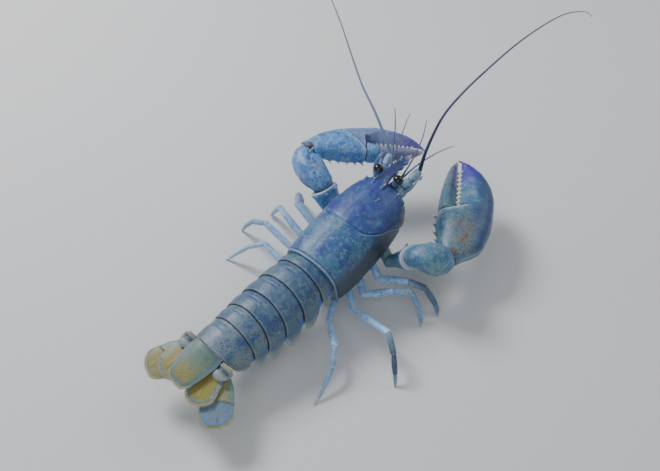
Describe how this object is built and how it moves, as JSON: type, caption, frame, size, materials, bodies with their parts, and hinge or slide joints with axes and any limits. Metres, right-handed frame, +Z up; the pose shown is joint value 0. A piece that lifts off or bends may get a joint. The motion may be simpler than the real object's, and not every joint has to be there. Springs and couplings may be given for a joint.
{
  "type": "american lobster display model",
  "caption": "Life-size still model of a blue American lobster walking with claws held forward, long feelers raised and tail fan spread.",
  "frame": {"origin": "middle of the model's box, on the floor that its feet stand on", "axes": "+X towards the head, +Y to the animal's left, +Z up"},
  "size_m": [0.5402, 0.319, 0.168],
  "materials": {
    "body_shell": "satin calcified shell, grey-blue mottled with ultramarine",
    "claw_shell": "satin calcified shell, blue with dark specks, purple towards the finger tips",
    "leg_shell": "satin thin shell, pale blue",
    "tail_fan": "satin flexible shell, ochre in the middle, blue-grey at the edges",
    "feeler": "satin ringed horny tube, dark blue",
    "eye": "glossy black"
  },
  "bodies": {
    "root": {"abdomen_1": "body_shell", "abdomen_2": "body_shell", "abdomen_3": "body_shell", "abdomen_4": "body_shell", "abdomen_5": "body_shell", "abdomen_6": "body_shell", "antenna_base_left": "body_shell", "antenna_base_right": "body_shell", "antenna_left": "feeler", "antenna_right": "feeler", "antennule_left": "feeler", "antennule_right": "feeler", "carapace": "body_shell", "cheliped_left_carpus": "claw_shell", "cheliped_left_dactylus": "claw_shell", "cheliped_left_ischium": "claw_shell", "cheliped_left_merus": "claw_shell", "cheliped_left_propodus": "claw_shell", "cheliped_right_carpus": "claw_shell", "cheliped_right_dactylus": "claw_shell", "cheliped_right_ischium": "claw_shell", "cheliped_right_merus": "claw_shell", "cheliped_right_propodus": "claw_shell", "endopod_left": "tail_fan", "endopod_right": "tail_fan", "exopod_left": "tail_fan", "exopod_right": "tail_fan", "eye_left": "eye", "eye_right": "eye", "leg_left_2_lower": "leg_shell", "leg_left_2_toe": "leg_shell", "leg_left_2_upper": "leg_shell", "leg_left_3_lower": "leg_shell", "leg_left_3_toe": "leg_shell", "leg_left_3_upper": "leg_shell", "leg_left_4_lower": "leg_shell", "leg_left_4_toe": "leg_shell", "leg_left_4_upper": "leg_shell", "leg_left_5_lower": "leg_shell", "leg_left_5_toe": "leg_shell", "leg_left_5_upper": "leg_shell", "leg_right_2_lower": "leg_shell", "leg_right_2_toe": "leg_shell", "leg_right_2_upper": "leg_shell", "leg_right_3_lower": "leg_shell", "leg_right_3_toe": "leg_shell", "leg_right_3_upper": "leg_shell", "leg_right_4_lower": "leg_shell", "leg_right_4_toe": "leg_shell", "leg_right_4_upper": "leg_shell", "leg_right_5_lower": "leg_shell", "leg_right_5_toe": "leg_shell", "leg_right_5_upper": "leg_shell", "maxilliped_left": "leg_shell", "maxilliped_right": "leg_shell", "rostrum": "body_shell", "sternum": "leg_shell", "telson": "tail_fan"}
  },
  "joints": []
}
